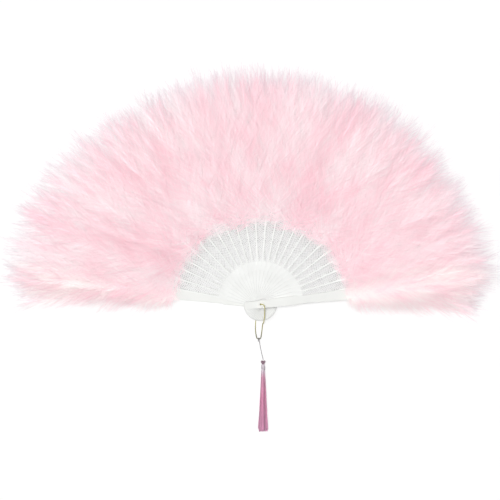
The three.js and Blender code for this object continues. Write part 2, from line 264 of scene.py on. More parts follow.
class Nodes:
    """Adds nodes to a tree; each input is given a plain value or another node's output."""

    def __init__(self, tree):
        self.tree = tree

    def add(self, kind, inputs=None, out=None, **settings):
        node = self.tree.nodes.new(kind)
        for name, value in settings.items():
            setattr(node, name, value)
        for key, value in (inputs or {}).items():
            socket = pick(node.inputs, key)
            for given in value if isinstance(value, list) else [value]:
                if isinstance(given, bpy.types.NodeSocket):
                    self.tree.links.new(given, socket)
                else:
                    socket.default_value = given
        return pick(node.outputs, out)

    def feed(self, sockets, outputs):
        for name, output in outputs.items():
            self.tree.links.new(output, sockets[name])

    def math(self, operation, *values):
        return self.add("ShaderNodeMath", dict(enumerate(values)), operation=operation)

    def plus(self, first, second):
        return self.math("ADD", first, second)

    def times(self, first, *others):
        for other in others:
            first = self.math("MULTIPLY", first, other)
        return first

    def vector(self, operation, *values):
        return self.add("ShaderNodeVectorMath", dict(enumerate(values)), operation=operation)

    def length(self, vector):
        return self.vector("LENGTH", vector).node.outputs["Value"]

    def scaled(self, vector, factor):
        return self.add("ShaderNodeVectorMath", {"Vector": vector, "Scale": factor}, operation="SCALE")

    def xyz(self, x=0.0, y=0.0, z=0.0):
        return self.add("ShaderNodeCombineXYZ", {"X": x, "Y": y, "Z": z})

    def split(self, vector):
        return self.add("ShaderNodeSeparateXYZ", {"Vector": vector}).node.outputs

    def spread(self, value, low, high, new_low, new_high):
        """A value carried from one range to another, and held within it."""
        limits = {"From Min": low, "From Max": high, "To Min": new_low, "To Max": new_high}
        return self.add("ShaderNodeMapRange", {"Value": value, **limits})

    def blend(self, factor, first, second, blend_type="MIX"):
        """Two colours mixed."""
        inputs = {"Factor": factor, 6: first, 7: second}
        return self.add("ShaderNodeMix", inputs, 2, data_type="RGBA", blend_type=blend_type)

    def noise(self, vector, scale, detail=2.0, out=None, **more):
        inputs = {"Vector": vector, "Scale": scale, "Detail": detail, **more}
        return self.add("ShaderNodeTexNoise", inputs, out)

    def lumps(self, vector, size, **more):
        """Noise with lumps of a given size."""
        return self.noise(vector, self.math("DIVIDE", 1.0, size), **more)

    def bump(self, strength, distance, height):
        inputs = {"Strength": strength, "Distance": distance, "Height": height}
        return self.add("ShaderNodeBump", inputs)

    def position(self):
        return self.add("GeometryNodeInputPosition")

    def stored(self, name, data_type="FLOAT"):
        return self.add("GeometryNodeInputNamedAttribute", {"Name": name}, data_type=data_type)

    def store(self, geometry, name, value, data_type="FLOAT", domain="POINT"):
        inputs = {"Geometry": geometry, "Name": name, "Value": value}
        return self.add("GeometryNodeStoreNamedAttribute", inputs, data_type=data_type, domain=domain)

    def circle(self, sides):
        """A round outline, one unit wide."""
        return self.add("GeometryNodeCurvePrimitiveCircle", {"Resolution": sides, "Radius": 0.5})

    def section(self, sides):
        """A round outline that notes how far around it each point lies."""
        return self.store(self.circle(sides), "around", self.add("GeometryNodeSplineParameter"))

    def tube(self, line, section, width):
        inputs = {"Curve": line, "Profile Curve": section, "Scale": width, "Fill Caps": True}
        return self.add("GeometryNodeCurveToMesh", inputs)

    def fibre(self, points, sides, tip_share):
        """A straight fibre along X, one unit long and wide, that notes how far along it each point lies."""
        line = self.add("GeometryNodeCurvePrimitiveLine", {"Start": (0, 0, 0), "End": (1, 0, 0)})
        parted = self.add("GeometryNodeResampleCurve", {"Curve": line, "Count": points}, mode="COUNT")
        marked = self.store(parted, "along", self.add("GeometryNodeSplineParameter"))
        width = self.spread(self.stored("along"), 0.0, 1.0, 1.0, tip_share)
        return self.tube(marked, self.section(sides), width)

    def instances(self, points, shape, **more):
        return self.add("GeometryNodeInstanceOnPoints", {"Points": points, "Instance": shape, **more})

    def moved(self, geometry, position):
        return self.add("GeometryNodeSetPosition", {"Geometry": geometry, "Position": position})

    def joined(self, *shapes):
        return self.add("GeometryNodeJoinGeometry", {"Geometry": list(shapes)})

    def realized(self, geometry):
        return self.add("GeometryNodeRealizeInstances", {"Geometry": geometry})


SOCKET_KINDS = {float: "NodeSocketFloat", int: "NodeSocketInt", bool: "NodeSocketBool"}


def shape_tree(name, sizes):
    """A geometry tree with a base shape, a material and one named input for each size."""
    tree = bpy.data.node_groups.new(name, "GeometryNodeTree")
    face = tree.interface
    face.new_socket("Base", in_out="INPUT", socket_type="NodeSocketGeometry")
    face.new_socket("Material", in_out="INPUT", socket_type="NodeSocketMaterial")
    for label, value in sizes.items():
        kind = SOCKET_KINDS[type(value)]
        face.new_socket(label, in_out="INPUT", socket_type=kind).default_value = value
    face.new_socket("Piece", in_out="OUTPUT", socket_type="NodeSocketGeometry")
    return Nodes(tree), tree.nodes.new("NodeGroupInput").outputs


def close_tree(nodes, given, geometry):
    """Ends a geometry tree: real geometry, one material."""
    inputs = {"Geometry": nodes.realized(geometry), "Material": given["Material"]}
    painted = nodes.add("GeometryNodeSetMaterial", inputs)
    nodes.feed(nodes.tree.nodes.new("NodeGroupOutput").inputs, {"Piece": painted})
    return nodes.tree


def add_object(name, data):
    made = bpy.data.objects.new(name, data)
    bpy.context.scene.collection.objects.link(made)
    return made


def new_mesh(name, points, edges=(), faces=()):
    mesh = bpy.data.meshes.new(name)
    mesh.from_pydata(points, edges, faces)
    return mesh


def make_piece(name, base, tree, material, sizes=None):
    """Runs a geometry tree on a base mesh and keeps the result as a plain mesh."""
    source = add_object(f"{name}_base", base)
    modifier = source.modifiers.new(tree.name, "NODES")
    modifier.node_group = tree
    wanted = {"Material": material, **(sizes or {})}
    for item in tree.interface.items_tree:
        if item.in_out == "INPUT" and item.name in wanted:
            modifier[item.identifier] = wanted[item.name]
    graph = bpy.context.evaluated_depsgraph_get()
    made = bpy.data.meshes.new_from_object(
        source.evaluated_get(graph), preserve_all_data_layers=True, depsgraph=graph
    )
    bpy.data.objects.remove(source)
    bpy.data.meshes.remove(base)
    made.name = name
    return add_object(name, made)


def polylines(lines, values=None):
    """A mesh of open lines, each a list of points; values gives named numbers or vectors for every point."""
    points = [point for line in lines for point in line]
    edges = []
    start = 0
    for line in lines:
        edges += [(start + k, start + k + 1) for k in range(len(line) - 1)]
        start += len(line)
    mesh = new_mesh("lines", points, edges)
    for label, given in (values or {}).items():
        if isinstance(given[0], float):
            mesh.attributes.new(label, "FLOAT", "POINT").data.foreach_set("value", given)
        else:
            flat = [number for vector in given for number in vector]
            mesh.attributes.new(label, "FLOAT_VECTOR", "POINT").data.foreach_set("vector", flat)
    return mesh


# Materials


WHITE = (1.0, 1.0, 1.0, 1.0)


def shader_group(name, inputs, outputs):
    """A shader group whose inputs are given as label: value, and its outputs as label: kind of socket."""
    tree = bpy.data.node_groups.new(name, "ShaderNodeTree")
    for label, value in inputs.items():
        kind = "NodeSocketColor" if isinstance(value, tuple) else "NodeSocketFloat"
        tree.interface.new_socket(label, in_out="INPUT", socket_type=kind).default_value = value
    for label, kind in outputs.items():
        tree.interface.new_socket(label, in_out="OUTPUT", socket_type=kind)
    result = tree.nodes.new("NodeGroupOutput").inputs
    return Nodes(tree), tree.nodes.new("NodeGroupInput").outputs, result


def srgb(red, green, blue):
    """A colour read off the photograph, 0 to 255, as the linear values that nodes take."""
    def linear(value):
        share = value / 255
        return share / 12.92 if share <= 0.04045 else ((share + 0.055) / 1.055) ** 2.4
    return (linear(red), linear(green), linear(blue), 1.0)


def barb_tint_group():
    """A barb's colour: tone runs across the map's U, root to tip along its V, and near the tip it turns to
    the Tip colour, a painted shade.
    """
    colours = {"Deep": WHITE, "Pale": WHITE, "Tip": WHITE}
    nodes, given, result = shader_group("barb_tint", colours, {"Color": "NodeSocketColor"})
    tone, along, _ = nodes.split(nodes.add("ShaderNodeUVMap", uv_map="OFBake"))
    body = nodes.blend(nodes.spread(tone, 0.05, 0.95, 0.0, 1.0), given["Deep"], given["Pale"])
    shade_tipped = nodes.blend(nodes.spread(along, 0.58, 0.95, 0.0, 1.0), body, given["Tip"])
    nodes.feed(result, {"Color": shade_tipped})
    return nodes.tree


def moulded_grain_group():
    """Injection-moulded plastic: cloudy tint, uneven gloss, fine skin, painted shade on the lacework and the
    handle, and a painted highlight on the lacework's rims.
    """
    sizes = {"Tint": WHITE, "Shade": WHITE, "Clouds": 45.0, "Shade Specks": 420.0, "Skin": 0.0, "Lace": 0.0}
    sizes |= {"Painted Shade Tail": 1.0, "Painted Shade Handle": 1.0, **LACE_PLACE, **HANDLE_PLACE}
    kinds = {"Color": "NodeSocketColor", "Roughness": "NodeSocketFloat", "Height": "NodeSocketFloat"}
    nodes, given, result = shader_group("moulded_grain", sizes, kinds)
    place = nodes.add("ShaderNodeTexCoord", out="Object")
    clouds = nodes.noise(place, given["Clouds"], detail=3.0)
    skin = nodes.noise(place, given["Skin"])
    colour = nodes.blend(nodes.spread(clouds, 0.3, 0.7, 0.0, 1.0), given["Shade"], given["Tint"])
    gloss = nodes.spread(clouds, 0.3, 0.7, 0.66, 0.56)

    # Painted shade on the lacework, mottled between its rims and stronger away from the handle, and a painted
    # highlight on its rims
    own_place = nodes.add("ShaderNodeAttribute", out="Vector", attribute_name="own_place")
    x, y, _ = nodes.split(own_place)
    in_lace = (x, given["Lace Start"], given["Lace End"])
    room = nodes.spread(*in_lace, given["Start Width"], given["End Width"])
    inside = nodes.math("LESS_THAN", nodes.times(nodes.math("ABSOLUTE", y), 2.0), room)
    started = nodes.times(nodes.math("GREATER_THAN", x, given["Lace Start"]), given["Lace"])
    shade_specks = nodes.noise(own_place, given["Shade Specks"], detail=0.0)
    lace_shade = nodes.spread(shade_specks, 0.35, 0.65, *LACE_PAINTED_SHADES)
    lace_shade_amount = nodes.times(inside, started, nodes.spread(*in_lace, *LACE_SHADE_STRENGTH))
    # The lacework's rims carry a painted highlight; smooth parts keep nearly their own colour
    plain = nodes.spread(started, 0.0, 1.0, SMOOTH_SHADE, RIM_HIGHLIGHT)
    lace = nodes.add("ShaderNodeMapRange", {"Value": lace_shade_amount, "To Min": plain, "To Max": lace_shade}, clamp=False)

    # Painted shade on the handle: darker towards the tail, and along its edges where the sticks overlap
    tail = nodes.times(given["Tail"], -1.0)
    in_handle = (x, tail, given["Handle"])
    beyond = nodes.math("MINIMUM", nodes.plus(x, given["Tail"]), 0.0)
    width = nodes.spread(*in_handle, given["Tail Width"], given["Handle Width"])
    inset = nodes.math("SUBTRACT", nodes.times(width, 0.5), nodes.length(nodes.xyz(beyond, y)))
    edge = nodes.spread(*in_handle, given["Painted Shade Tail"], given["Painted Shade Handle"])
    painted_shade = nodes.spread(inset, 0.0, given["Painted Shade Width"], edge, 1.0)
    shaded_handle = nodes.times(painted_shade, nodes.spread(x, tail, TAIL_SHADE_TO, *TAIL_PAINTED_SHADE))
    handle_shade = nodes.spread(nodes.math("LESS_THAN", x, given["Handle"]), 0.0, 1.0, 1.0, shaded_handle)
    shaded_colour = nodes.scaled(colour, nodes.times(lace, handle_shade))
    nodes.feed(result, {"Color": shaded_colour, "Roughness": gloss, "Height": skin})
    return nodes.tree


def twisted_fibres_group():
    """Spun yarn: fibres wind round the strand, whose map runs around it in U and along it in V."""
    sizes = {"Fibres": 0.0, "Turns": 0.0, "Fleck": 60.0, "Low": WHITE, "High": WHITE}
    kinds = {"Color": "NodeSocketColor", "Height": "NodeSocketFloat"}
    nodes, given, result = shader_group("twisted_fibres", sizes, kinds)
    around, along, _ = nodes.split(nodes.add("ShaderNodeUVMap", uv_map="lay"))
    winding = nodes.plus(nodes.times(around, given["Fibres"]), nodes.times(along, given["Turns"]))
    ridge = nodes.spread(nodes.math("SINE", nodes.times(winding, 2 * math.pi)), -1.0, 1.0, 0.0, 1.0)
    fleck = nodes.noise(nodes.add("ShaderNodeTexCoord", out="Object"), given["Fleck"])
    level = nodes.math("MULTIPLY_ADD", ridge, 0.55, nodes.times(fleck, 0.45))
    nodes.feed(result, {"Color": nodes.blend(level, given["Low"], given["High"]), "Height": ridge})
    return nodes.tree


BARB_TINT = barb_tint_group()
MOULDED_GRAIN = moulded_grain_group()
TWISTED_FIBRES = twisted_fibres_group()


def new_material(name, **settings):
    """A material whose shader has these plain values; returns it with its nodes and its shader's inputs."""
    material = bpy.data.materials.new(name)
    material.use_nodes = True
    shader = material.node_tree.nodes["Principled BSDF"]
    for label, value in settings.items():
        shader.inputs[label.replace("_", " ")].default_value = value
    return material, Nodes(material.node_tree), shader.inputs


def place_group(nodes, group, values):
    node = nodes.tree.nodes.new("ShaderNodeGroup")
    node.node_tree = group
    for label, value in values.items():
        node.inputs[label].default_value = value
    return node.outputs


def feather_material(name, deep, pale, tip):
    material, nodes, shader = new_material(name, Roughness=0.9, Specular_IOR_Level=0.15)
    tint = place_group(nodes, BARB_TINT, {"Deep": deep, "Pale": pale, "Tip": tip})
    nodes.feed(shader, {"Base Color": tint["Color"]})
    return material


def plastic_material(name, tint, shade, skin, depth, edge_shade, lace=0.0):
    material, nodes, shader = new_material(name, Roughness=0.6, Specular_IOR_Level=0.3)
    values = {"Tint": tint, "Shade": shade, "Skin": skin, "Lace": lace}
    # Painted shade along the handle's edges, at the tail and at the handle's end
    values |= {"Painted Shade Tail": edge_shade[0], "Painted Shade Handle": edge_shade[1]}
    grain = place_group(nodes, MOULDED_GRAIN, values)
    bump = nodes.bump(strength=0.25, distance=depth, height=grain["Height"])
    nodes.feed(shader, {"Base Color": grain["Color"], "Roughness": grain["Roughness"], "Normal": bump})
    return material


def yarn_material(name, low, high, fibres, turns, roughness, depth, painted_shade=None):
    """Yarn of two colours; the last argument gives a painted shade along Y: where it begins, where it is
    deepest, and how dark.
    """
    material, nodes, shader = new_material(name, Roughness=roughness)
    values = {"Fibres": fibres, "Turns": turns, "Low": low, "High": high}
    fibre = place_group(nodes, TWISTED_FIBRES, values)
    colour = fibre["Color"]
    if painted_shade:
        # Painted shade along Y
        unshaded_y, darkest, share = painted_shade
        y = nodes.split(nodes.add("ShaderNodeTexCoord", out="Object"))["Y"]
        colour = nodes.scaled(colour, nodes.spread(y, darkest, unshaded_y, share, 1.0))
    bump = nodes.bump(strength=0.6, distance=depth, height=fibre["Height"])
    nodes.feed(shader, {"Base Color": colour, "Normal": bump})
    return material


def skirt_material():
    """Tassel strands: pale under the binding, then rose, then mauve at their ends."""
    material, nodes, shader = new_material("tassel_strands", Roughness=0.6, Sheen_Weight=0.3)
    values = {"Fibres": 3.0, "Turns": 60.0, "Low": srgb(186, 176, 186), "High": srgb(255, 255, 255)}
    fibre = place_group(nodes, TWISTED_FIBRES, values)
    along = nodes.split(nodes.add("ShaderNodeUVMap", uv_map="lay"))["Y"]
    ramp = nodes.add("ShaderNodeValToRGB", {"Fac": along}).node
    stops = [
        (0.0, srgb(244, 234, 242)), (0.11, srgb(240, 220, 232)), (0.2, srgb(228, 166, 192)),
        (0.5, srgb(236, 156, 190)), (1.0, srgb(232, 166, 200)),
    ]
    for _ in stops[2:]:
        ramp.color_ramp.elements.new(0.5)
    for element, (position, colour) in zip(ramp.color_ramp.elements, stops):
        element.position = position
        element.color = colour
    tone = nodes.add("ShaderNodeAttribute", out="Fac", attribute_name="tone")
    # The strands' tone, partly random and partly painted highlight and shade, scales their colour
    strand = nodes.scaled(ramp.outputs["Color"], nodes.spread(tone, 0.0, 1.0, 0.64, 1.34))
    tinted = nodes.blend(1.0, strand, fibre["Color"], "MULTIPLY")
    bump = nodes.bump(strength=0.5, distance=0.0001, height=fibre["Height"])
    nodes.feed(shader, {"Base Color": tinted, "Normal": bump})
    return material


# Feathers: deepest and palest tone, and the painted shade at the ends of the fringe
FRINGE_TIP_SHADE = srgb(234, 225, 231)
PINK_MARABOU = feather_material("pink_marabou", srgb(253, 221, 229), srgb(254, 247, 248), FRINGE_TIP_SHADE)
CREAM_MARABOU = feather_material("cream_marabou", srgb(253, 222, 230), srgb(254, 250, 248), FRINGE_TIP_SHADE)
# Plastics: tint and shade of the clouds, and how much painted shade their lacework and handle edges get
STICK_PLASTIC = plastic_material(
    "stick_plastic", srgb(239, 240, 238), srgb(233, 234, 232),
    skin=1600.0, depth=0.00004, edge_shade=STICK_PAINTED_SHADE, lace=1.0,
)
GUARD_PLASTIC = plastic_material(
    "guard_plastic", srgb(237, 238, 235), srgb(232, 233, 230), skin=1100.0, depth=0.00006, edge_shade=GUARD_PAINTED_SHADE
)
RIVET_PLASTIC = plastic_material(
    "rivet_plastic", srgb(240, 240, 236), srgb(232, 232, 228), skin=2200.0, depth=0.00003, edge_shade=STICK_PAINTED_SHADE
)
# Yarns: colours of the grooves and the ridges
GOLD_CORD = yarn_material(
    "gold_cord", srgb(156, 146, 80), srgb(226, 220, 150),
    fibres=9.0, turns=0.0, roughness=0.45, depth=0.00008,
    painted_shade=(pivot.y - CORD_UNSHADED_TO, pivot.y - CORD_SHADE_DARKEST_AT, CORD_SHADE_DARKEST),
)
TASSEL_THREAD = yarn_material(
    "tassel_thread", srgb(72, 62, 70), srgb(122, 110, 118),
    fibres=6.0, turns=0.0, roughness=0.7, depth=0.00005,
)
TASSEL_BINDING = yarn_material(
    "tassel_binding", srgb(186, 176, 184), srgb(248, 240, 246),
    fibres=4.0, turns=40.0, roughness=0.6, depth=0.00006,
)
KNOT_YARN = yarn_material(
    "knot_yarn", srgb(106, 84, 96), srgb(182, 152, 166),
    fibres=4.0, turns=30.0, roughness=0.7, depth=0.00008,
)
SKIRT_YARN = skirt_material()


# Camera


def place_camera():
    data = bpy.data.cameras.new("photo_camera")
    data.sensor_width = CAMERA_SENSOR
    mid_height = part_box("front_guard")[1].z / 2
    data.lens = CAMERA_SENSOR * (CAMERA_HEIGHT - mid_height) / (PHOTO_SIDE * PHOTO_SCALE)
    camera = add_object("photo_camera", data)
    across = (PHOTO_SIDE / 2 - PIVOT_PIXEL[0]) * PHOTO_SCALE
    up = (PIVOT_PIXEL[1] - PHOTO_SIDE / 2) * PHOTO_SCALE
    camera.location = (pivot.x + across, pivot.y + up, CAMERA_HEIGHT)
    bpy.context.scene.camera = camera


# Cords and tassel


# Wrist cord, from the rivet's axis: out of the front mouth, over the tails, down to the surface, round its
# bend and back under the fan into the rear mouth
CORD_ROUTE = [
    (0, 0, 0.033), (0.0002, 0, 0.0346), (0.0013, 0.0001, 0.0359), (0.0031, -0.0003, 0.0363),
    (0.0046, -0.002, 0.036), (0.0052, -0.0052, 0.0355), (0.0051, -0.0104, 0.035), (0.0048, -0.0156, 0.0346),
    (0.0043, -0.0196, 0.0342), (0.0039, -0.0222, 0.0322), (0.0037, -0.0233, 0.0286), (0.0035, -0.0237, 0.021),
    (0.0033, -0.0241, 0.013), (0.003, -0.0249, 0.0066), (0.0026, -0.0271, 0.0024), (0.0022, -0.0306, 0.0009),
    (0.0017, -0.035, 0.00075), (0.0011, -0.0392, 0.0013), (0.0007, -0.0417, 0.0018),
    (-0.0001, -0.0436, 0.002), (-0.0021, -0.0445, 0.002), (-0.0041, -0.0436, 0.002),
    (-0.005, -0.0417, 0.0018), (-0.0055, -0.0392, 0.0013),
    (-0.0061, -0.035, 0.00075), (-0.0063, -0.03, 0.00075), (-0.0061, -0.024, 0.00075),
    (-0.005, -0.016, 0.00075), (-0.0031, -0.0086, 0.00075), (-0.0012, -0.0032, 0.0008),
    (-0.00035, -0.00095, 0.00175), (0, 0, 0.0037), (0, 0, 0.0056),
]

# Tassel thread: a hitch round the cord's bend, then along the surface to the tassel's knot
THREAD_ROUTE = [
    (-0.0027, -0.0476, 0.001), (-0.0025, -0.0461, 0.00045), (-0.0023, -0.0445, 0.00042),
    (-0.0021, -0.0431, 0.001), (-0.00195, -0.0428, 0.0022), (-0.0018, -0.0434, 0.0033),
    (-0.00165, -0.0446, 0.00365), (-0.0014, -0.0463, 0.003), (-0.0012, -0.0481, 0.0018),
    (-0.0008, -0.0505, 0.0007), (-0.0002, -0.054, 0.00045), (0.0008, -0.059, 0.00045),
    (0.0019, -0.064, 0.0006), (0.0029, -0.068, 0.0016), (0.0034, -0.0703, 0.0027),
]


def smooth_route(points, steps):
    """A smooth line through given points, each stretch in equal steps, timed by the points' distances."""
    laid = [Vector(p) for p in points]
    laid = [2 * laid[0] - laid[1], *laid, 2 * laid[-1] - laid[-2]]
    line = []
    for k in range(1, len(laid) - 2):
        a, b, c, d = laid[k - 1:k + 3]
        first, second, third = (b - a).length ** 0.5, (c - b).length ** 0.5, (d - c).length ** 0.5
        leave = (b - a) / first - (c - a) / (first + second) + (c - b) / second
        reach = (c - b) / second - (d - b) / (second + third) + (d - c) / third
        for step in range(steps):
            t = step / steps
            line.append(
                (2 * t**3 - 3 * t**2 + 1) * b + (t**3 - 2 * t**2 + t) * second * leave
                + (3 * t**2 - 2 * t**3) * c + (t**3 - t**2) * second * reach
            )
    return [*line, laid[-2]]


def cord_tree():
    """A twisted cord along its base line, with as many plies as asked for."""
    sizes = {"Diameter": CORD_DIAMETER, "Plies": 3.0, "Lay Length": CORD_LAY, "Sides": 15}
    nodes, given = shape_tree("twisted_cord", sizes)
    line = nodes.add("GeometryNodeMeshToCurve", {"Mesh": given["Base"]})
    run = nodes.add("GeometryNodeSplineParameter", out="Length")
    turns = nodes.math("DIVIDE", run, given["Lay Length"])
    tilt = nodes.times(turns, 2 * math.pi)
    twisted = nodes.add("GeometryNodeSetCurveTilt", {"Curve": line, "Tilt": tilt})
    measured = nodes.store(twisted, "run", turns)
    around = nodes.add("GeometryNodeSplineParameter")
    swing = nodes.times(around, given["Plies"], 2 * math.pi)
    bulge = nodes.spread(nodes.math("COSINE", swing), -1.0, 1.0, PLY_GROOVE, 1.0)
    plied = nodes.moved(nodes.circle(given["Sides"]), nodes.scaled(nodes.position(), bulge))
    tube = nodes.tube(measured, nodes.store(plied, "around", around), given["Diameter"])
    lay = nodes.xyz(nodes.stored("around"), nodes.stored("run"))
    mapped = nodes.store(tube, "lay", lay, "FLOAT2", "CORNER")
    smooth = nodes.add("GeometryNodeSetShadeSmooth", {"Geometry": mapped})
    return close_tree(nodes, given, smooth)


def strand_tree():
    """Strands that hang from the base's points, each along its own heading."""
    sizes = {
        "Width": STRAND_WIDTH, "Waves": STRAND_WAVES, "Wave Size": STRAND_WAVE_SIZE,
        "Lowest": STRAND_WIDTH / 2,
    }
    nodes, given = shape_tree("tassel_strands", sizes)
    heading = nodes.stored("heading", "FLOAT_VECTOR")
    turn = nodes.add("FunctionNodeAlignRotationToVector", {"Vector": heading}, axis="X")
    size = nodes.xyz(nodes.length(heading), given["Width"], given["Width"])
    strand = nodes.fibre(points=8, sides=4, tip_share=1.0)
    hung = nodes.instances(given["Base"], strand, Rotation=turn, Scale=size)
    spot = nodes.position()
    along = nodes.stored("along")
    scattered = nodes.vector("ADD", spot, nodes.stored("scatter", "FLOAT_VECTOR"))
    waves = nodes.lumps(scattered, given["Wave Size"], detail=1.0, out="Color")
    sway = nodes.vector("SUBTRACT", waves, (0.5, 0.5, 0.5))
    waved = nodes.vector("ADD", spot, nodes.scaled(sway, nodes.times(along, given["Waves"], 2.0)))
    x, y, z = nodes.split(waved)
    resting = nodes.xyz(x, y, nodes.math("MAXIMUM", z, given["Lowest"]))
    settled = nodes.moved(nodes.realized(hung), resting)
    mapped = nodes.store(settled, "lay", nodes.xyz(nodes.stored("around"), along), "FLOAT2", "CORNER")
    smooth = nodes.add("GeometryNodeSetShadeSmooth", {"Geometry": mapped})
    return close_tree(nodes, given, smooth)


CORD_TREE = cord_tree()
STRAND_TREE = strand_tree()


def dress(piece, body, slot, *nodes):
    """Lets a piece ride on a body in place of CAD nodes; slot is not used."""
    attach(piece, body)
    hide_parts(*nodes)


def make_yarn(name, line, material, diameter, plies, lay, sides):
    sizes = {"Diameter": diameter, "Plies": plies, "Lay Length": lay, "Sides": sides}
    return make_piece(name, polylines([line]), CORD_TREE, material, sizes)


def make_cords():
    root = stick_body(0)
    cord_line = [pivot + p for p in smooth_route(CORD_ROUTE, 6)]
    cord = make_yarn(
        "gold_wrist_cord", cord_line, GOLD_CORD, diameter=CORD_DIAMETER, plies=3.0, lay=CORD_LAY, sides=15
    )
    dress(cord, root, "gold_cord", "wrist_cord")
    knot, neck = make_knot(), make_neck()
    thread_line = [pivot + p for p in smooth_route(THREAD_ROUTE, 8)]
    thread = make_yarn(
        "tassel_hanging_thread", thread_line, TASSEL_THREAD,
        diameter=THREAD_DIAMETER, plies=2.0, lay=THREAD_LAY, sides=12,
    )
    dress(thread, root, "tassel_thread", "tassel_thread")
    make_skirt()


def make_knot():
    """Yarn tied into an overhand knot that fills the knot's place."""
    low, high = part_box("tassel_knot")
    centre = (low + high) / 2
    half = (high - low) / 2
    yarn = KNOT_YARN_WIDTH
    line = []
    for k in range(KNOT_STEPS + 1):
        t = 2 * math.pi * k / KNOT_STEPS
        turn = (
            (math.sin(t) + 2 * math.sin(2 * t)) / 3,
            (math.cos(t) - 2 * math.cos(2 * t)) / 3,
            -math.sin(3 * t),
        )
        line.append(centre + Vector([
            way * (reach - yarn / 2) * fit for way, reach, fit in zip(turn, half, KNOT_FIT)
        ]))
    knot = make_yarn("tassel_tied_knot", line, KNOT_YARN, diameter=yarn, plies=3.0, lay=KNOT_LAY, sides=12)
    dress(knot, stick_body(0), "tassel_binding", "tassel_knot")
    return knot


def make_neck():
    """Fine thread bound round the tops of the strands, turn beside turn."""
    low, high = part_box("tassel_neck")
    centre = (low + high) / 2
    step = (high.y - low.y) / (BINDING_TURNS + 1)
    outer = (high.x - low.x) / 2
    steps = BINDING_TURNS * BINDING_STEPS
    line = []
    for k in range(steps + 1):
        turn = 2 * math.pi * k / BINDING_STEPS
        share = k / steps
        y = high.y - step / 2 - share * (high.y - low.y - step)
        radius = (outer - step / 2) * (0.9 + 0.1 * math.sin(math.pi * share))
        line.append((centre.x + radius * math.cos(turn), y, centre.z + radius * math.sin(turn)))
    neck = make_yarn(
        "tassel_bound_neck", line, TASSEL_BINDING,
        diameter=step * BINDING_OVERLAP, plies=2.0, lay=BINDING_LAY, sides=10,
    )
    dress(neck, stick_body(0), "tassel_binding", "tassel_neck")
    return neck


def make_skirt():
    """Strands from inside the knot, through the binding, to the skirt's wide end."""
    dice = random.Random(41)
    low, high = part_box("tassel_skirt")
    neck_low, neck_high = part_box("tassel_neck")
    axis_x, axis_z = (neck_low.x + neck_high.x) / 2, (neck_low.z + neck_high.z) / 2
    top = neck_high.y + STRAND_RISE
    waist = (neck_high.x - neck_low.x) / 2 - NECK_INSET
    half_width, half_height = (high.x - low.x) / 2, (high.z - low.z) / 2
    starts, headings, scatters, tones_and_shades = [], [], [], []
    for _ in range(SKIRT_STRANDS):
        angle = dice.uniform(0, 2 * math.pi)
        radius = math.sqrt(dice.random())
        out, up = math.cos(angle) * radius, math.sin(angle) * radius
        end_x = axis_x + out * (half_width - STRAND_INSET)
        end_z = half_height + up * (half_height - STRAND_INSET)
        end_y = low.y + dice.uniform(0.0, STRAND_RAGGED) + abs(dice.gauss(0, STRAND_STRAY))
        start = Vector((axis_x + out * waist, top, axis_z + up * waist))
        starts.append([start])
        headings.append(Vector((end_x, end_y, end_z)) - start)
        sideways, upwards = (dice.uniform(-STRAND_SCATTER, STRAND_SCATTER) for _ in range(2))
        scatters.append((sideways, 0.0, upwards))
        # Locks of painted highlight and shade round the tassel, mixed with random tone
        shade_lock = 0.5 + 0.5 * math.sin(STRAND_SHADE_LOCKS * angle)
        tones_and_shades.append(LOCK_SHADE_SHARE * shade_lock + (1 - LOCK_SHADE_SHARE) * dice.random())
    base = polylines(starts, {"heading": headings, "scatter": scatters, "tone": tones_and_shades})
    skirt = make_piece("tassel_strand_skirt", base, STRAND_TREE, SKIRT_YARN)
    dress(skirt, stick_body(0), "tassel_yarn", "tassel_skirt")


# Sticks


def curve_steps(a, b, c, d, steps):
    """Points on a curve from a to d, without a itself."""
    line = []
    for k in range(1, steps + 1):
        t = k / steps
        s = 1 - t
        line.append(s**3 * a + 3 * s * s * t * b + 3 * s * t * t * c + t**3 * d)
    return line


def stick_edge(side):
    """One long edge of a stick, side = -1 or 1, from the tail's round end to the tip's."""
    def at(x, width):
        return Vector((x, side * width / 2, 0))
    bend = SHOULDER_LENGTH / 2
    sweep = TAPER_LENGTH / 2
    return [
        at(TAIL_WIDTH / 2 - tail_length, TAIL_WIDTH),
        at(HANDLE_LENGTH, HANDLE_WIDTH),
        *curve_steps(at(HANDLE_LENGTH, HANDLE_WIDTH), at(HANDLE_LENGTH + bend, HANDLE_WIDTH),
                     at(neck_at - bend, NECK_WIDTH), at(neck_at, NECK_WIDTH), 10),
        at(flare_at, FLARE_WIDTH),
        *curve_steps(at(flare_at, FLARE_WIDTH), at(flare_at + sweep, FLARE_WIDTH),
                     at(blade_at - sweep, BLADE_ROOT_WIDTH), at(blade_at, BLADE_ROOT_WIDTH), 6),
        at(tip_at - BLADE_TIP_WIDTH / 2, BLADE_TIP_WIDTH),
    ]


def round_end(x, radius, start, steps):
    """A half circle between a stick's two edges, without its end points."""
    turns = [start + math.pi * k / steps for k in range(1, steps)]
    return [Vector((x + radius * math.cos(t), radius * math.sin(t), 0)) for t in turns]


def stick_outline():
    ring = [
        *stick_edge(-1),
        *round_end(tip_at - BLADE_TIP_WIDTH / 2, BLADE_TIP_WIDTH / 2, -math.pi / 2, 8),
        *reversed(stick_edge(1)),
        *round_end(TAIL_WIDTH / 2 - tail_length, TAIL_WIDTH / 2, math.pi / 2, 18),
    ]
    return new_mesh("stick_outline", ring, [(k, (k + 1) % len(ring)) for k in range(len(ring))])


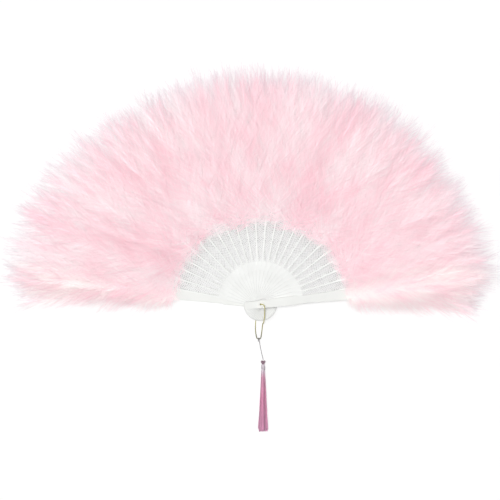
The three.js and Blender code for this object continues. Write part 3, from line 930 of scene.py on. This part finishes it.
def stick_tree():
    """A flat stick from its outline: pivot hole, trellis of diamond piercings, thickness."""
    sizes = {
        "Thickness": 0.001, "Pivot Hole": PIVOT_HOLE, "Rows": LACE_ROWS, "Columns": LACE_COLUMNS,
        "Opening": LACE_OPENING, "Pierced": True, "Lace Edge Share": LACE_EDGE_SHARE, **LACE_PLACE,
    }
    nodes, given = shape_tree("pierced_stick", sizes)

    def lace_width(x):
        lace = (given["Lace Start"], given["Lace End"], given["Start Width"], given["End Width"])
        return nodes.spread(x, *lace)

    outline = nodes.add("GeometryNodeMeshToCurve", {"Mesh": given["Base"]})
    hole_size = {"Resolution": 28, "Radius": nodes.times(given["Pivot Hole"], 0.5)}
    hole = nodes.add("GeometryNodeCurvePrimitiveCircle", hole_size)
    lace_length = nodes.math("SUBTRACT", given["Lace End"], given["Lace Start"])
    row_pitch = nodes.math("DIVIDE", lace_length, given["Rows"])
    middle = nodes.times(nodes.plus(given["Lace Start"], given["Lace End"]), 0.5)
    diamond = nodes.circle(4)
    lattices = []
    for fewer in (0, 1):
        rows = nodes.math("SUBTRACT", given["Rows"], fewer)
        columns = nodes.math("SUBTRACT", given["Columns"], fewer)
        grid = nodes.add("GeometryNodeMeshGrid", {
            "Size X": nodes.math("SUBTRACT", rows, 1), "Size Y": nodes.math("SUBTRACT", columns, 1),
            "Vertices X": rows, "Vertices Y": columns,
        })
        row, column, _ = nodes.split(nodes.position())
        x = nodes.math("MULTIPLY_ADD", row, row_pitch, middle)
        column_pitch = nodes.math("DIVIDE", lace_width(x), given["Columns"])
        laid = nodes.moved(grid, nodes.xyz(x, nodes.times(column, column_pitch)))
        noted = nodes.store(laid, "column_pitch", column_pitch)
        long = nodes.times(row_pitch, given["Opening"])
        wide = nodes.times(nodes.stored("column_pitch"), given["Opening"])
        lattices.append(nodes.instances(noted, diamond, Scale=nodes.xyz(long, wide, 1.0)))
    choice = {"Switch": given["Pierced"], "True": nodes.joined(*lattices)}
    lace = nodes.add("GeometryNodeSwitch", choice, input_type="GEOMETRY")
    rims = nodes.realized(nodes.joined(outline, hole, lace))
    sheet = nodes.add("GeometryNodeFillCurve", {"Curve": rims}, mode="TRIANGLES")
    lift = {"Offset": (0, 0, 1), "Offset Scale": given["Thickness"], "Individual": False}
    raised = nodes.add("GeometryNodeExtrudeMesh", {"Mesh": sheet, **lift}, mode="FACES")
    both = nodes.joined(raised, nodes.add("GeometryNodeFlipFaces", {"Mesh": sheet}))
    closed = nodes.add("GeometryNodeMergeByDistance", {"Geometry": both, "Distance": 0.00001})

    # Each point's place on its own stick, and each edge's share of the rounding, finer within the lacework
    x, y, _ = nodes.split(nodes.position())
    within = nodes.math("LESS_THAN", nodes.math("ABSOLUTE", y), nodes.times(lace_width(x), 0.5))
    started = nodes.math("GREATER_THAN", x, given["Lace Start"])
    placed = nodes.store(closed, "own_place", nodes.position(), "FLOAT_VECTOR")
    noted = nodes.store(placed, "fine_edge", nodes.times(within, started))
    sharp = nodes.math("GREATER_THAN", nodes.add("GeometryNodeInputMeshEdgeAngle"), SHARP_ANGLE)
    softness = nodes.spread(nodes.stored("fine_edge"), 0.0, 1.0, 1.0, given["Lace Edge Share"])
    weighed = nodes.store(noted, "bevel_weight_edge", nodes.times(sharp, softness), domain="EDGE")
    return close_tree(nodes, given, weighed)


STICK_TREE = stick_tree()


def make_stick(layer):
    guard = is_guard(layer)
    finish = "guard_plastic" if guard else "stick_plastic"
    stick = make_piece(
        f"pierced_{stick_names[layer]}", stick_outline(), STICK_TREE,
        GUARD_PLASTIC if guard else STICK_PLASTIC,
        {
            "Thickness": stick_thickness(layer), "Pierced": not guard,
            "Lace Edge Share": 1.0 if guard else LACE_EDGE_SHARE,
        },
    )
    stick.data.transform(stick_place(layer))
    rounding = stick.modifiers.new("soft_edges", "BEVEL")
    rounding.width = GUARD_EDGE if guard else STICK_EDGE
    rounding.segments = 2 if guard else 1
    rounding.limit_method = "WEIGHT"
    rounding.use_clamp_overlap = False
    dress(stick, stick_body(layer), finish, stick_names[layer])


# Feathers


class Feather:
    """One feather in its stick's own frame: a quill bowed through three points, and how its barbs grow."""

    def __init__(self, quill, reach, tone, density=1.0, girth=1.0, loose=0.0, fringe=0.0):
        root, middle, tip = quill
        bow = 2 * middle - (root + tip) / 2
        shares = [k / (QUILL_POINTS - 1) for k in range(QUILL_POINTS)]
        self.points = [(1 - t) ** 2 * root + 2 * t * (1 - t) * bow + t * t * tip for t in shares]
        self.headings = [(2 * (1 - t) * (bow - root) + 2 * t * (tip - bow)).normalized() for t in shares]
        self.values = {
            "tone": min(1.0, max(0.0, tone)), "reach": reach, "density": density, "girth": girth,
            "loose": loose, "fringe": fringe,
        }
        self.shares = shares


def eased(share):
    """A share held between 0 and 1, leaving and reaching both gently."""
    held = min(1.0, max(0.0, share))
    return held * held * (3 - 2 * held)


def plume_end(layer):
    """Where a layer's feathers end: longer towards the rear guard, and shorter near the front one."""
    longer = eased((LONGER_FROM - layer) / (LONGER_FROM - LONGEST_FROM))
    shorter = eased(1 - abs(layer - SHORTEST_AT) / SHORTER_OVER)
    return plume_length + LONGER_TIP * longer - SHORTER_TIP * shorter


def polar(radius, bearing, height):
    return Vector((radius * math.cos(bearing), radius * math.sin(bearing), height))


def lanes_across(layer, count, dice):
    """Bearings side by side across a stick's share of the opened fan, on a guard mostly on its inner side."""
    places = [(k + 0.5) / count - 0.5 + dice.uniform(-LANE_JITTER, LANE_JITTER) for k in range(count)]
    bearings = [pitch * place for place in places]
    if not is_guard(layer):
        return bearings
    shift = -GUARD_LANE_SHIFT * pitch if layer == 0 else GUARD_LANE_SHIFT * pitch
    return [GUARD_LANE_SHARE * bearing + shift for bearing in bearings]


def bowed(bearing, root, tip, heights, dice):
    """Three points of a quill that drifts a little to one side."""
    drift = dice.uniform(-QUILL_DRIFT, QUILL_DRIFT)
    return (
        polar(root, bearing, heights[0]),
        polar((root + tip) / 2, bearing + 0.6 * drift, heights[1]),
        polar(tip, bearing + drift, heights[2]),
    )


def front_feathers(layer, dice):
    """Feathers in front of the stick, the long ones lowest; the short ones start over the lacework."""
    face = stick_thickness(layer)
    end = plume_end(layer)
    sideways = (2 * layer / last_layer - 1) ** 2
    inner_edge = INNER_EDGE + SIDE_SETBACK * sideways
    # Lanes, root, nearest and farthest tip, heights of root, middle and tip, reach of the barbs, fringe
    rows = (
        (3, 0.115, end - 0.025, end - 0.016, (0.0012, 0.0085, 0.005), 0.040, 1.0),
        (2, 0.119, 0.205, 0.245, (0.0015, 0.0105, 0.0085), 0.038, 0.0),
        (3, inner_edge, 0.150, 0.200, (0.0018, 0.0095, 0.0105), 0.036, 0.0),
    )
    feathers = []
    for lanes, root, nearest, farthest, heights, reach, fringe in rows:
        for bearing in lanes_across(layer, lanes, dice):
            quill = bowed(
                bearing, root + dice.uniform(-0.006, 0.006), dice.uniform(nearest, farthest),
                [face + height for height in heights], dice,
            )
            tone = dice.gauss(0.5, 0.15 if fringe else 0.24)
            feathers.append(Feather(quill, reach * dice.uniform(0.9, 1.08), tone, fringe=fringe))
    return feathers


def rear_feathers(layer, dice):
    """Feathers behind the stick, in as many levels as fill the space down to the surface."""
    drop = stick_place(layer).translation.z
    levels = max(1, round(drop / REAR_LEVEL))
    feathers = []
    for bearing in lanes_across(layer, 2, dice):
        quill = bowed(bearing, root=0.109, tip=0.140, heights=(-0.0012, -0.0028, -0.005), dice=dice)
        tone = dice.gauss(0.4, 0.15)
        feathers.append(Feather(quill, reach=0.026, tone=tone, density=0.6, loose=0.4))
    for level in range(levels):
        depth = -drop * (level + 0.5) / levels
        for bearing in lanes_across(layer, 2, dice):
            quill = bowed(
                bearing, root=0.119 + dice.uniform(-0.002, 0.002),
                tip=plume_end(layer) - dice.uniform(0.022, 0.031),
                heights=(min(-0.0015, 0.5 * depth), depth, 0.85 * depth), dice=dice,
            )
            tone = dice.gauss(0.5, 0.17)
            feathers.append(Feather(
                quill, reach=0.038, tone=tone, density=0.5, girth=1.35, loose=1.0, fringe=1.0
            ))
    return feathers


def guard_feathers(layer, dice):
    """A guard's own feathers: a pale streak and tufts along it, and fluff past it, lower and wider."""
    face = stick_thickness(layer)
    drop = stick_place(layer).translation.z
    end = plume_end(layer)
    out = 1 if layer == 0 else -1
    overhang = REAR_OVERHANG if layer == 0 else FRONT_OVERHANG
    levels = max(2, round(drop / REAR_LEVEL) + 1)
    feathers = []
    for bearing in lanes_across(layer, 2, dice):
        heights = (face + 0.002, face + 0.0115, face + 0.008)
        quill = bowed(0.5 * bearing + out * 0.02, root=0.107, tip=end - 0.055, heights=heights, dice=dice)
        feathers.append(Feather(quill, reach=0.019, tone=0.74))
    for tuft in range(2):
        root = Vector((0.108, out * 0.003, face + 0.0015))
        tip = Vector((0.150 + 0.018 * tuft, out * (0.012 - 0.004 * tuft), face + 0.003))
        middle = (root + tip) / 2 + Vector((0, 0, 0.004))
        feathers.append(Feather((root, middle, tip), reach=0.022, tone=1.0))
    for level in range(levels):
        share = (level + 0.5) / levels
        height = face + 0.005 - (drop + face + 0.004) * share
        for lane in range(3):
            spread = overhang * (0.3 + 0.7 * share) * (lane + 1) / 3
            root_at = 0.114 + dice.uniform(-0.003, 0.003)
            root = Vector((root_at, out * (0.002 + 0.15 * spread), 0.6 * height))
            tip = Vector((end - dice.uniform(0.028, 0.038), out * spread, height))
            middle = (root + tip) / 2 + Vector((0, -out * 0.15 * spread, 0.25 * (height - root.z)))
            tone = dice.gauss(0.6, 0.15)
            feathers.append(Feather(
                (root, middle, tip), reach=0.029, tone=tone, density=0.75, girth=1.1, loose=0.8, fringe=1.0
            ))
    return feathers


def feather_base(layer, feathers):
    """The quills of one plume as lines that carry what their barbs need to know."""
    place = stick_place(layer)
    turn = place.to_3x3()
    lines = [[place @ point for point in feather.points] for feather in feathers]
    values = {
        "heading": [turn @ heading for feather in feathers for heading in feather.headings],
        "share": [share for feather in feathers for share in feather.shares],
    }
    for label in feathers[0].values:
        values[label] = [feather.values[label] for feather in feathers for _ in feather.points]
    return polylines(lines, values)


def marabou_tree():
    """A marabou plume on its quills: downy barbs leave each quill on both sides, curl and clump together."""
    sizes = {**DOWN, "Highest": cad_box[1].z + CROWN_ROOM, "Seed": 0}
    nodes, given = shape_tree("marabou_plume", sizes)

    def chance(low, high, number):
        limits = {"Min": low, "Max": high, "Seed": nodes.plus(given["Seed"], float(number))}
        return nodes.add("FunctionNodeRandomValue", limits, data_type="FLOAT")

    # Which way a barb leaves its quill: wide at the quill's root, forward at its tip
    quills = nodes.add("GeometryNodeMeshToCurve", {"Mesh": given["Base"]})
    spacing = {"Curve": quills, "Length": given["Barb Spacing"]}
    roots = nodes.add("GeometryNodeResampleCurve", spacing, mode="LENGTH")
    heading = nodes.vector("NORMALIZE", nodes.stored("heading", "FLOAT_VECTOR"))
    share = nodes.stored("share")
    side = nodes.math("SIGN", chance(-1.0, 1.0, 1))
    flared = nodes.spread(share, 0.0, ROOT_FLARE_TO, ROOT_FLARE, 0.0)
    opened = nodes.plus(nodes.spread(share, 0.0, 1.0, *BARB_SPLAY), flared)
    unruly = nodes.spread(share, 0.0, UNRULY_TO, *BARB_UNRULY)
    splay = nodes.plus(opened, nodes.times(chance(-1.0, 1.0, 2), unruly))
    across = nodes.vector("NORMALIZE", nodes.vector("CROSS_PRODUCT", heading, (0, 0, 1)))
    forward = nodes.scaled(heading, nodes.math("COSINE", splay))
    outward = nodes.scaled(across, nodes.times(side, nodes.math("SINE", splay)))
    stray = nodes.math("POWER", chance(0.0, 1.0, 3), 4.0)
    raised = nodes.spread(stray, 0.0, 1.0, -0.02, given["Loose Lift"])
    tossed = nodes.times(chance(-1.0, 1.0, 7), given["Loose Lift"])
    lift = nodes.add("ShaderNodeMix", {"Factor": nodes.stored("loose"), "A": raised, "B": tossed})
    level = nodes.vector("ADD", forward, outward)
    direction = nodes.vector("NORMALIZE", nodes.vector("ADD", level, nodes.scaled((0, 0, 1), lift)))

    # How long it is
    fullness = nodes.add("ShaderNodeFloatCurve", {"Value": share})
    curve = fullness.node.mapping.curves[0]
    curve.points[0].location = FULLNESS[0]
    curve.points[1].location = FULLNESS[-1]
    for along, amount in FULLNESS[1:-1]:
        curve.points.new(along, amount)
    fullness.node.mapping.update()
    luck = nodes.spread(nodes.math("POWER", chance(0.0, 1.0, 4), 1.2), 0.0, 1.0, *BARB_LUCK)
    length = nodes.times(nodes.stored("reach"), nodes.times(fullness, luck))

    # Its tone, which drifts in clouds across the plume
    halfway = nodes.vector("ADD", nodes.position(), nodes.scaled(direction, nodes.times(length, 0.5)))
    flattened = nodes.vector("MULTIPLY", halfway, (1, 1, 0.3))
    clouds = nodes.lumps(flattened, given["Tone Size"], detail=3.0, Roughness=0.8)
    cloud = nodes.spread(clouds, 0.32, 0.68, -TONE_RANGE, TONE_RANGE)
    varied = nodes.plus(nodes.plus(nodes.stored("tone"), cloud), chance(-TONE_JITTER, TONE_JITTER, 5))
    toned = nodes.store(roots, "tone", nodes.add("ShaderNodeClamp", {"Value": varied}))
    measured = nodes.store(toned, "length", length)

    # Straight barbs, flat side up
    aimed = nodes.add("FunctionNodeAlignRotationToVector", {"Vector": direction}, axis="X")
    upright = {"Rotation": aimed, "Vector": (0, 0, 1)}
    turn = nodes.add("FunctionNodeAlignRotationToVector", upright, axis="Z", pivot_axis="X")
    width = nodes.times(given["Barb Width"], nodes.stored("girth"))
    size = nodes.xyz(length, width, nodes.times(width, given["Flatness"]))
    kept = nodes.math("LESS_THAN", chance(0.0, 1.0, 6), nodes.stored("density"))
    barb = nodes.fibre(points=4, sides=3, tip_share=BARB_TIP_SHARE)
    barbs = nodes.realized(nodes.instances(measured, barb, Selection=kept, Rotation=turn, Scale=size))

    # Bent towards the tip, clumped and curled, between the surface and the crown
    spot = nodes.position()
    along = nodes.stored("along")
    squared = nodes.times(along, along)
    sweep = nodes.times(squared, nodes.stored("length"), given["Bend"])
    place = nodes.vector("ADD", spot, nodes.scaled(nodes.stored("heading", "FLOAT_VECTOR"), sweep))
    for kind, fade in (("Clump", squared), ("Curl", along)):
        lumps = nodes.lumps(spot, given[f"{kind} Size"], detail=1.0, out="Color")
        centred = nodes.vector("SUBTRACT", lumps, (0.5, 0.5, 0.5))
        swing = nodes.vector("MULTIPLY", centred, nodes.xyz(2.0, 2.0, given["Loft"]))
        push = nodes.scaled(swing, nodes.times(fade, given[f"{kind} Shift"]))
        place = nodes.vector("ADD", place, push)
    x, y, z = nodes.split(place)
    above = nodes.math("MAXIMUM", z, given["Lowest"])
    height = nodes.math("SMOOTH_MIN", above, given["Highest"], CROWN_BLEND)
    settled = nodes.moved(barbs, nodes.xyz(x, y, height))

    shaft_width = nodes.times(given["Quill Width"], nodes.spread(share, 0.0, 1.0, 1.0, QUILL_TIP_SHARE))
    plume = nodes.joined(settled, nodes.tube(quills, nodes.section(4), shaft_width))

    # The map that barb_tint reads; only the ends of the fringe reach the tip's painted shade
    tone_map = nodes.times(nodes.stored("tone"), 0.94)
    across_map = nodes.math("MULTIPLY_ADD", nodes.stored("around"), 0.06, tone_map)
    ends = nodes.times(nodes.stored("fringe"), nodes.spread(share, 0.5, 0.95, 0.0, 1.0))
    along_map = nodes.times(nodes.stored("along"), nodes.spread(ends, 0.0, 1.0, 0.6, 1.0))
    mapped = nodes.store(plume, "OFBake", nodes.xyz(across_map, along_map), "FLOAT2", "CORNER")
    flat = nodes.add("GeometryNodeSetShadeSmooth", {"Geometry": mapped, "Shade Smooth": False})
    return close_tree(nodes, given, flat)


MARABOU_TREE = marabou_tree()


def make_plume(layer):
    guard = is_guard(layer)
    dice = random.Random(700 + layer)
    feathers = front_feathers(layer, dice) + rear_feathers(layer, dice)
    if guard:
        feathers += guard_feathers(layer, dice)
    name = plume_name(layer)
    plume = make_piece(
        f"marabou_{name}", feather_base(layer, feathers), MARABOU_TREE,
        CREAM_MARABOU if guard else PINK_MARABOU, {"Seed": 10 * layer},
    )
    dress(plume, stick_body(layer), "pale_feathers" if guard else "pink_feathers", name)
    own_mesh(plume)


# Pivot


def finish_pivot():
    for name in ("rivet", "rear_washer", "front_washer"):
        node = frame["nodes"][name]
        node.data.materials.clear()
        node.data.materials.append(RIVET_PLASTIC)


# Floor and light


def make_floor():
    corners = [(x * FLOOR_REACH, y * FLOOR_REACH, 0) for x, y in ((-1, -1), (1, -1), (1, 1), (-1, 1))]
    floor = add_object("studio_floor", new_mesh("studio_floor", corners, faces=[(0, 1, 2, 3)]))
    material, nodes, shader = new_material("white_paper", Roughness=0.9, Specular_IOR_Level=0.0)
    fibre = nodes.noise(nodes.add("ShaderNodeTexCoord", out="Object"), 300.0)
    nodes.feed(shader, {"Base Color": nodes.spread(fibre, 0.3, 0.7, 0.97, 1.0)})
    path = nodes.add("ShaderNodeLightPath").node.outputs
    seen = nodes.math("MAXIMUM", path["Is Camera Ray"], path["Is Glossy Ray"])
    glow = nodes.add("ShaderNodeEmission", {"Color": WHITE, "Strength": 1.0})
    surface = nodes.tree.nodes["Principled BSDF"].outputs["BSDF"]
    mixed = nodes.add("ShaderNodeMixShader", {0: nodes.times(seen, FLOOR_GLOW), 1: surface, 2: glow})
    nodes.feed(nodes.tree.nodes["Material Output"].inputs, {"Surface": mixed})
    floor.data.materials.append(material)


def make_lights():
    scene = bpy.context.scene
    world = bpy.data.worlds.new("studio")
    world.use_nodes = True
    sky = world.node_tree.nodes["Background"].inputs
    sky["Color"].default_value = WHITE
    sky["Strength"].default_value = SKY_LEVEL
    scene.world = world
    for name, lamp in SOFTBOXES.items():
        heading = Vector(lamp["heading"])
        data = bpy.data.lights.new(name, "SUN")
        data.energy = lamp["level"] * math.pi * heading.length
        data.angle = math.radians(lamp["spread"])
        softbox = add_object(name, data)
        softbox.rotation_euler = heading.to_track_quat("-Z", "Y").to_euler()
    # Pale down passes light on many times before it is lost
    scene.cycles.diffuse_bounces = LIGHT_PASSES
    scene.cycles.max_bounces = LIGHT_PASSES + 2


place_camera()
make_cords()
for layer in range(len(stick_names)):
    make_stick(layer)
    make_plume(layer)
finish_pivot()
make_floor()
make_lights()

view = bpy.context.scene.view_settings
view.view_transform = "Standard"
